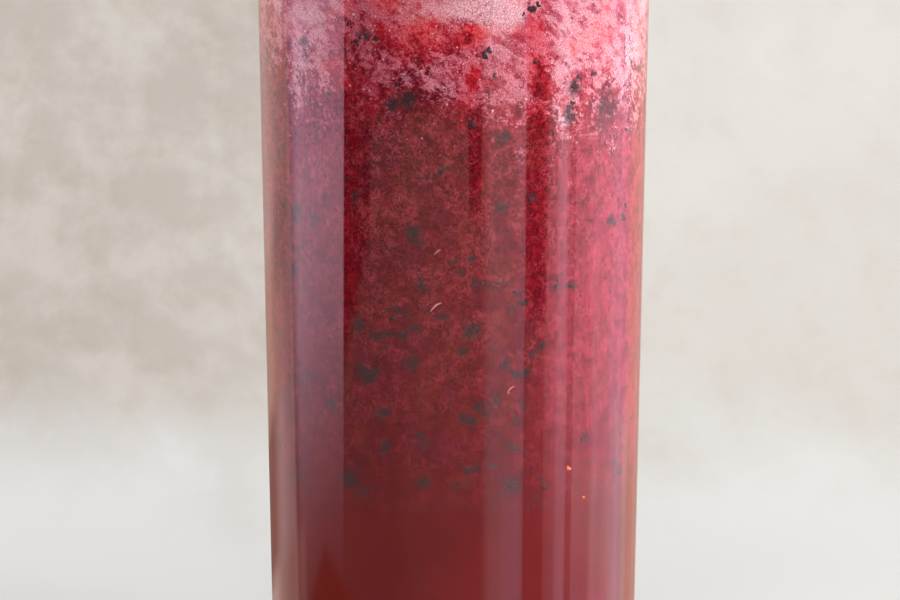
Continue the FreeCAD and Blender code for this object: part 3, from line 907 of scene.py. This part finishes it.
def peel_piece():
    """A few small scraps of orange and yellow peel."""
    g = rng_all(13)
    places = [(38.3, 45.1, 0.62, 1.0), (16.9, 59.0, 0.5, 0.1), (44.8, 39.7, 0.4, 0.7)]
    while len(places) < 14:
        a = g.uniform(-180, 180)
        if abs(a) > 62:
            places.append((a, 40 + 80 * g.random(), g.uniform(0.25, 0.5), g.random()))
    items, tone = [], []
    for a, z, s, v_tone in places:
        c, out, along, up = on_skin(math.radians(a), z, 0.0)
        v, f = chip(g, s, 0.10)
        v = c + v[:, :1] * along + v[:, 1:2] * up + v[:, 2:] * out
        items.append((v, f))
        tone.append(v_tone)
    m, t = material("peel")
    p = t.mm()
    n = t.noise(p, 3.0, 2.0)
    col = t.mix(t.attr("tone"), (0.42, 0.05, 0.02), (0.90, 0.22, 0.05))
    col = t.mix(t.line(n, 0.3, 0.75, 0.0, 0.6), col, (0.50, 0.06, 0.03))
    t.out(t.principled(Base_Color=col, Roughness=0.45, Specular_IOR_Level=0.15))
    return scatter("peel_specks", items, m, {"tone": tone})


peel_piece()


# -------------------------------------------------------------------- bubbles
def unit_ball(rows, seg):
    verts = [(0, 0, 1.0)]
    for r in range(1, rows):
        a = math.pi * r / rows
        for s in range(seg):
            b = 2 * math.pi * s / seg
            verts.append((math.sin(a) * math.cos(b), math.sin(a) * math.sin(b), math.cos(a)))
    verts.append((0, 0, -1.0))
    faces = [(0, 1 + s, 1 + (s + 1) % seg) for s in range(seg)]
    for r in range(rows - 2):
        for s in range(seg):
            k = (s + 1) % seg
            a, b = 1 + r * seg, 1 + (r + 1) * seg
            faces.append((a + s, b + s, b + k, a + k))
    last = 1 + (rows - 2) * seg
    faces += [(len(verts) - 1, last + (s + 1) % seg, last + s) for s in range(seg)]
    return np.array(verts), faces


def bubble_material():
    m, t = material("froth_bubbles")
    p = t.mm()
    tone = t.attr("tone")
    n = t.noise(p, 1.2, 2.0)
    col = t.mix(tone, (0.50, 0.08, 0.12), (0.92, 0.50, 0.56))
    col = t.mix(t.line(n, 0.3, 0.75, 0.0, 0.5), col, (0.62, 0.14, 0.18))
    t.out(
        t.principled(
            Base_Color=col, Roughness=0.25, Specular_IOR_Level=0.4, Coat_Weight=0.5, Coat_Roughness=0.08,
            Normal=t.bump(n, 0.2, 0.0001),
        )
    )
    return m


BUBBLES = bubble_material()


def bubbles_top():
    g = rng_all(17)
    small, large = unit_ball(4, 6), unit_ball(6, 10)
    items, tone = [], []
    rim = r_in(134.0)
    placed = []
    while len(items) < 2600:
        rad = float(np.clip(g.lognormal(math.log(0.42), 0.5), 0.18, 1.7))
        r = (rim - rad * 0.8) * math.sqrt(g.random())
        if g.random() < 0.25:
            r = rim - rad * g.uniform(0.8, 1.6)
        a = g.uniform(-math.pi, math.pi)
        x, y = r * math.sin(a), -r * math.cos(a)
        if rad > 0.8:
            if any((x - q[0]) ** 2 + (y - q[1]) ** 2 < (rad + q[2]) ** 2 * 0.8 for q in placed):
                continue
            placed.append((x, y, rad))
        q = np.array([[x, y, 0.0]])
        z = float(foam_level(x, y)) + float(
            (1.1 * (fbm(q, 5.5, 31, 3) - 0.5) + 0.5 * (fbm(q, 1.6, 37, 2) - 0.5))[0]
        )
        v, f = large if rad > 0.7 else small
        v = v * (rad, rad, rad * 0.85) + (x, y, z - rad * 0.15)
        items.append((v, f))
        tone.append(float(np.clip(g.normal(0.6, 0.22), 0, 1)))
    return scatter("froth_bubbles_top", items, BUBBLES, {"tone": tone})


def bubbles_wall():
    g = rng_all(19)
    ball = unit_ball(4, 7)
    items, tone = [], []
    while len(items) < 2600:
        a = g.uniform(-math.pi, math.pi)
        z = 98 + 37 * g.random()
        c, out, along, up = on_skin(a, z, 0.0)
        if g.random() > froth_amount(c[None])[0] ** 1.5 or z > float(foam_level(c[0], c[1])):
            continue
        rad = float(np.clip(g.lognormal(math.log(0.13), 0.32), 0.08, 0.26))
        v, f = ball
        v = v[:, :1] * rad * along + v[:, 1:2] * rad * up + v[:, 2:] * rad * 0.3 * out + c - out * rad * 0.05
        items.append((v, f))
        tone.append(float(np.clip(g.normal(0.35, 0.25), 0, 1)))
    return scatter("froth_bubbles_wall", items, BUBBLES, {"tone": tone})


bubbles_top()
bubbles_wall()


# ---------------------------------------------------------------------- studio
def studio_floor():
    loops = []
    seg = 96
    radii = [0.02, 0.05, 0.1, 0.2, 0.35, 0.6, 1.0, 1.8, 3.2]
    for r in radii:
        c = ring(r / MM, seg)
        loops.append(np.column_stack([c, np.zeros(seg)]))
    ob = lathe("studio_floor", np.array(loops), (0, 0, 0.0), None)
    m, t = material("pale_floor")
    tc = t.node("ShaderNodeTexCoord")
    p = tc.outputs["Object"]
    x, y, z = t.xyz(p)
    dist = t.math("SQRT", t.add(t.mul(x, x), t.mul(y, y)))
    across, along = t.math("ABSOLUTE", x), t.math("ABSOLUTE", y)
    turn = t.step(t.sub(across, along), -0.10, 0.10)

    def mottle(scale, detail, rough):
        """Soft mottling, drawn out evenly away from the glass on all four sides."""
        both = []
        for wide_way, far_way, shift in ((x, along, 0.0), (y, across, 3.7)):
            depth = t.add(far_way, 0.66)
            flat = t.node("ShaderNodeCombineXYZ")
            t.put(flat.inputs[0], t.add(t.math("DIVIDE", t.mul(wide_way, 1.45), depth), shift))
            t.put(flat.inputs[1], t.math("DIVIDE", 0.24, depth))
            both.append(t.noise(flat.outputs[0], scale, detail, rough))
        return t.mix(turn, both[0], both[1])

    cloud = mottle(34.0, 4.0, 0.62)
    wide = mottle(7.0, 2.0, 0.5)
    side = t.step(t.add(x, t.mul(t.sub(wide, 0.5), 0.12)), -0.14, 0.14)
    far = t.mix(side, (0.49, 0.465, 0.415), (0.74, 0.745, 0.70))
    far = t.mix(t.step(cloud, 0.40, 0.64, 0.0, 0.45), far, (0.70, 0.69, 0.65))
    far = t.mix(t.step(wide, 0.35, 0.6, 0.15, 0.0), far, (0.45, 0.40, 0.35))
    near = t.mix(side, (0.685, 0.715, 0.71), (0.755, 0.79, 0.765))
    blots = mottle(70.0, 3.0, 0.6)
    far = t.mix(t.mul(t.step(blots, 0.46, 0.78), t.line(side, 0, 1, 0.30, 0.08)), far, (0.42, 0.34, 0.26))
    reach = t.add(t.add(dist, t.mul(t.sub(wide, 0.5), -0.75)), t.mul(t.sub(cloud, 0.5), 0.30))
    col = t.mix(t.step(reach, 0.15, 0.46), near, far)
    t.out(t.principled(Base_Color=col, Roughness=0.8, Specular_IOR_Level=0.1))
    ob.data.materials.append(m)
    ob.visible_glossy = False


studio_floor()


def studio_light():
    world = bpy.data.worlds.new("soft_studio")
    scene.world = world
    t = Tree(world)
    d = t.node("ShaderNodeTexCoord").outputs["Generated"]
    x, y, z = t.xyz(d)
    az = t.mul(t.math("ARCTAN2", x, t.mul(y, -1.0)), 180 / math.pi)      # 0 at the viewer's side, + to the right
    el = t.mul(t.math("ARCSINE", z), 180 / math.pi)
    away = t.math("ABSOLUTE", az)

    def sideways(a):
        n = t.node("ShaderNodeCombineXYZ")
        t.put(n.inputs[0], a)
        return n.outputs[0]

    def lamp(total, mask, colour):
        return t.mix(1.0, total, t.mix(mask, (0, 0, 0), colour), "ADD")

    below = t.step(el, -3.0, 0.0, 1.0, 0.0)
    above = t.step(el, -3.0, 0.0)
    light = t.mix(above, (0.03, 0.03, 0.03), (0.08, 0.08, 0.08))
    # soft key light from the right
    key = t.mul(t.band(az, 50.0, 136.0, 3.0), t.mul(above, t.step(el, 26.0, 38.0, 1.0, 0.0)))
    light = lamp(light, key, (8.5, 8.2, 8.2))
    # gentle light from in front, above the viewer
    light = lamp(light, t.mul(t.band(az, -45.0, 45.0, 8.0), t.band(el, 15.0, 50.0, 5.0)), (1.65, 1.65, 1.65))
    light = lamp(light, t.step(el, 55.0, 75.0), (0.35, 0.35, 0.35))
    # the same window low down, where the glass mirrors it: brightest at its near edge, fading behind
    glow = t.mul(t.mul(t.step(az, 60.5, 66.5), t.step(az, 70.2, 72.6, 1.0, 0.0)), t.line(el, -11.6, -8.2, 0.15, 0.85))
    glow = t.sub(glow, t.mul(t.band(az, 84.5, 94.0, 2.5), t.step(el, -9.7, -9.0, 0.30, 0.0)))
    for low, high, soft, more in ((73.2, 78.2, 0.9, -0.68), (79.3, 84.0, 1.5, -0.22), (94.0, 99.5, 2.0, 0.22), (113.0, 124.0, 3.0, 0.36)):
        glow = t.add(glow, t.mul(t.band(az, low, high, soft), more))
    bars = t.noise(sideways(az), 0.12, 1.0, 0.5)
    glow = t.mul(t.add(glow, 1.0), t.line(bars, 0.3, 0.7, 0.93, 1.07))
    glow = t.mul(glow, t.line(az, 136.0, 163.0, 1.0, 0.55))
    right = t.mul(t.mul(t.step(az, 60.0, 68.0), t.mul(glow, 0.5)), below)
    light = lamp(light, right, t.mix(t.step(az, 124.0, 140.0), (2.4, 2.08, 2.56), (2.45, 1.86, 1.50)))
    light = lamp(light, t.mul(t.band(az, 116.0, 138.0, 5.0), t.step(el, -11.0, -9.9, 1.0, 0.0)), (0.10, 0.45, 0.36))
    # narrow cool window on the left, fading downwards
    lean = t.sub(az, t.mul(t.add(t.math("MINIMUM", el, -5.0), 10.6), 0.74))
    left = t.mul(t.mul(t.step(az, -121.0, -104.0), t.step(lean, -71.3, -70.0, 1.0, 0.0)), t.mul(t.step(el, -14.6, -7.5), t.step(el, 30.0, 40.0, 1.0, 0.0)))
    light = lamp(light, left, t.mix(below, (0.0, 0.0, 0.0), t.mix(t.step(el, -12.5, -9.5), (2.4, 1.50, 1.95), (2.5, 1.82, 2.45))))
    light = lamp(light, t.mul(t.band(az, -117.0, -106.0, 3.0), t.step(el, -13.0, -12.2, 1.0, 0.0)), (0.55, 0.28, 0.24))
    fill = t.mul(t.mul(t.band(az, -152.0, -72.0, 3.0), above), t.step(el, 30.0, 42.0, 1.0, 0.0))
    light = lamp(light, fill, (1.55, 1.45, 1.5))
    # pale backdrop behind on the left
    back = t.mul(t.mul(t.step(away, 113.0, 117.5), t.step(el, 30.0, 55.0, 1.0, 0.0)), t.step(az, -60, 60, 1.0, 0.0))
    back = t.mul(back, t.line(az, -165.0, -149.0, 0.55, 1.0))
    tone = t.mix(t.step(az, -158.0, -146.0), (1.10, 0.83, 0.76), (1.14, 0.80, 0.70))
    tone = t.mix(t.step(el, -13.0, -12.2), tone, t.mix(t.step(az, -152.0, -130.0), (0.46, 0.26, 0.19), (1.32, 1.02, 0.98)))
    tone = t.mix(t.step(el, -10.6, -9.8), tone, t.mix(t.step(az, -144.0, -127.0), (0.94, 0.66, 0.49), (1.42, 0.92, 0.87)))
    tone = t.mix(t.step(el, -8.3, -7.3), tone, t.mix(t.step(az, -148.0, -137.0), (1.08, 0.80, 0.70), (1.32, 0.93, 0.83)))
    light = lamp(light, t.mul(back, 0.5), t.mix(1.0, tone, tone, "ADD"))
    # table in front, up to a far edge that differs with direction
    edge = t.mul(t.mul(t.step(lean, -71.6, -70.4), t.step(az, -51.6, -49.4, 1.0, 0.0)), t.line(az, -69.0, -52.0, -3.5, -1.9))
    edge = t.add(edge, t.mul(t.band(az, 8.8, 16.5, 0.6), -1.6))
    edge = t.add(edge, t.mul(t.band(az, 43.5, 58.5, 0.6), -3.9))
    edge = t.add(edge, t.mul(t.step(az, 16.5, 18.0), 0.8))
    level = t.sub(t.sub(el, -7.0), edge)
    table = t.mul(t.step(level, -0.45, 0.45, 1.0, 0.0), t.step(away, 110.0, 118.0, 1.0, 0.0))
    table = t.mul(table, t.mul(t.line(el, -14.5, -10.5, 0.86, 1.0), t.mul(t.step(az, -40.0, -22.0, 0.75, 1.0), t.step(az, -76.0, -71.0, 0.94, 1.0))))
    light = lamp(light, table, (0.58, 0.44, 0.37))
    light = lamp(light, t.mul(t.band(az, 29.0, 41.0, 1.5), t.step(el, -13.0, -12.0, 1.0, 0.0)), (0.15, 0.25, 0.45))
    # pale things beside the window
    light = lamp(light, t.mul(t.mul(t.step(az, 15.5, 24.0), t.step(az, 42.5, 44.0, 1.0, 0.0)), t.mul(below, t.line(az, 26.0, 42.0, 1.04, 0.82))), (0.75, 0.68, 0.72))
    light = lamp(light, t.mul(t.band(az, 37.5, 43.5, 0.5), below), (0.08, 0.08, 0.25))
    light = lamp(light, t.mul(t.band(az, 57.0, 63.0, 1.2), below), (0.5, 0.42, 0.5))

    # something dark and small behind on the left
    blot = t.mul(t.band(az, -141.0, -123.0, 4.0), t.band(el, -8.5, -7.0, 0.6))
    light = t.mix(t.mul(blot, 0.6), light, (0.57, 0.52, 0.52))
    light = lamp(light, t.mul(t.band(az, 78.0, 114.0, 4.0), t.band(el, -13.2, -11.8, 0.5)), (0.08, 0.32, 0.18))
    # a dark corner low on the left
    notch = t.add(t.add(el, 13.15), t.mul(t.math("ABSOLUTE", t.add(az, 88.0)), 0.045))
    light = t.mix(t.mul(t.step(notch, -0.25, 0.25, 1.0, 0.0), t.band(az, -108.0, -64.0, 2.0)), light, (0.40, 0.20, 0.10))

    plain = t.mix(t.line(el, -5, 40), (0.72, 0.68, 0.62), (0.80, 0.77, 0.72))
    path = t.node("ShaderNodeLightPath")
    seen = t.math("MAXIMUM", path.outputs["Is Camera Ray"], path.outputs["Is Transmission Ray"])
    colour = t.mix(seen, light, plain)
    bg = t.node("ShaderNodeBackground")
    t.put(bg.inputs["Color"], colour)
    t.put(bg.inputs["Strength"], 1.0)
    out = t.node("ShaderNodeOutputWorld")
    t.nt.links.new(bg.outputs[0], out.inputs["Surface"])
    world.cycles.sampling_method = "MANUAL"
    world.cycles.sample_map_resolution = 1024


studio_light()
scene.view_settings.view_transform = "Standard"
scene.view_settings.look = "None"


# ---------------------------------------------------------------------- camera
def camera():
    cam = bpy.data.cameras.new("camera")
    ob = bpy.data.objects.new("camera", cam)
    scene.collection.objects.link(ob)
    cam.sensor_width = 36.0
    cam.lens = 149.0
    cam.clip_start, cam.clip_end = 0.01, 20.0
    pitch = math.radians(8.0)
    z_axis = 75.0 - 33.0 * math.tan(pitch)
    dist = 650.0
    ob.location = (-0.0006, -dist * math.cos(pitch) * MM, (z_axis + dist * math.sin(pitch)) * MM)
    ob.rotation_euler = (math.pi / 2 - pitch, 0.0, 0.0)
    scene.camera = ob


camera()
